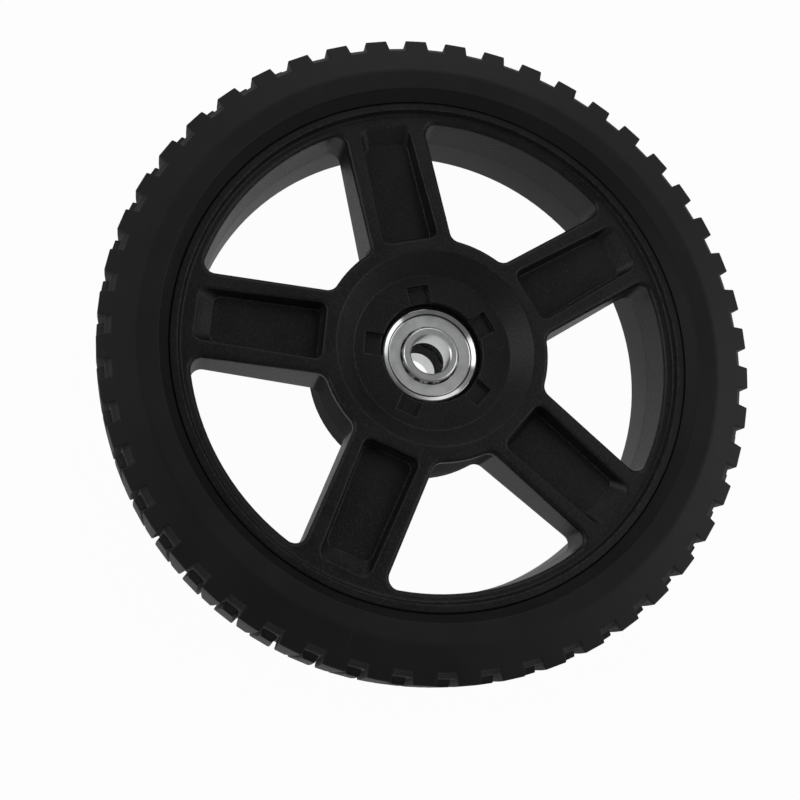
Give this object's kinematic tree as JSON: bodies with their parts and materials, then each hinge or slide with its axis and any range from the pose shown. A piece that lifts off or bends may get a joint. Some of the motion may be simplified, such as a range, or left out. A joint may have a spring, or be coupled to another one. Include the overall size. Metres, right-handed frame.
{
  "type": "lawn mower wheel",
  "caption": "Spoked plastic wheel with a lugged rubber tyre and flanged ball bearings, turning on a plain axle under a lawn mower deck.",
  "frame": {"origin": "on the axle axis, in the plane of the hub's rear end face that the wheel lies on", "axes": "+Z along the axle out of the dished face, +X along the middle of one spoke"},
  "size_m": [0.2032, 0.2032, 0.0479],
  "materials": {
    "tyre_rubber": "smooth black rubber",
    "hub_plastic": "fine-grained black moulding",
    "cup_steel": "bright zinc",
    "plate_steel": "satin zinc",
    "race_steel": "polished",
    "ball_steel": "polished"
  },
  "bodies": {
    "wheel": {"tyre": "tyre_rubber", "hub": "hub_plastic", "front_bearing_cup": "cup_steel", "front_bearing_plate": "plate_steel", "rear_bearing_cup": "cup_steel", "rear_bearing_plate": "plate_steel"},
    "front_race": {"front_bearing_race": "race_steel"},
    "front_balls": {"front_ball_01": "ball_steel", "front_ball_02": "ball_steel", "front_ball_03": "ball_steel", "front_ball_04": "ball_steel", "front_ball_05": "ball_steel", "front_ball_06": "ball_steel", "front_ball_07": "ball_steel", "front_ball_08": "ball_steel", "front_ball_09": "ball_steel", "front_ball_10": "ball_steel", "front_ball_11": "ball_steel", "front_ball_12": "ball_steel"},
    "rear_race": {"rear_bearing_race": "race_steel"},
    "rear_balls": {"rear_ball_01": "ball_steel", "rear_ball_02": "ball_steel", "rear_ball_03": "ball_steel", "rear_ball_04": "ball_steel", "rear_ball_05": "ball_steel", "rear_ball_06": "ball_steel", "rear_ball_07": "ball_steel", "rear_ball_08": "ball_steel", "rear_ball_09": "ball_steel", "rear_ball_10": "ball_steel", "rear_ball_11": "ball_steel", "rear_ball_12": "ball_steel"}
  },
  "joints": [
    {"name": "front_race_spin", "type": "hinge", "parent": "wheel", "child": "front_race", "pos_m": [0, 0, 0.02672], "axis": [0, 0, 1], "continuous": true},
    {"name": "front_balls_orbit", "type": "hinge", "parent": "wheel", "child": "front_balls", "pos_m": [0, 0, 0.02672], "axis": [0, 0, 1], "continuous": true},
    {"name": "rear_race_spin", "type": "hinge", "parent": "wheel", "child": "rear_race", "pos_m": [0, 0, 0.00748], "axis": [0, 0, 1], "continuous": true},
    {"name": "rear_balls_orbit", "type": "hinge", "parent": "wheel", "child": "rear_balls", "pos_m": [0, 0, 0.00748], "axis": [0, 0, 1], "continuous": true}
  ],
  "couplings": [
    {"joint": "front_balls_orbit", "follows": "front_race_spin", "ratio": 0.38461},
    {"joint": "rear_balls_orbit", "follows": "rear_race_spin", "ratio": 0.38461}
  ]
}
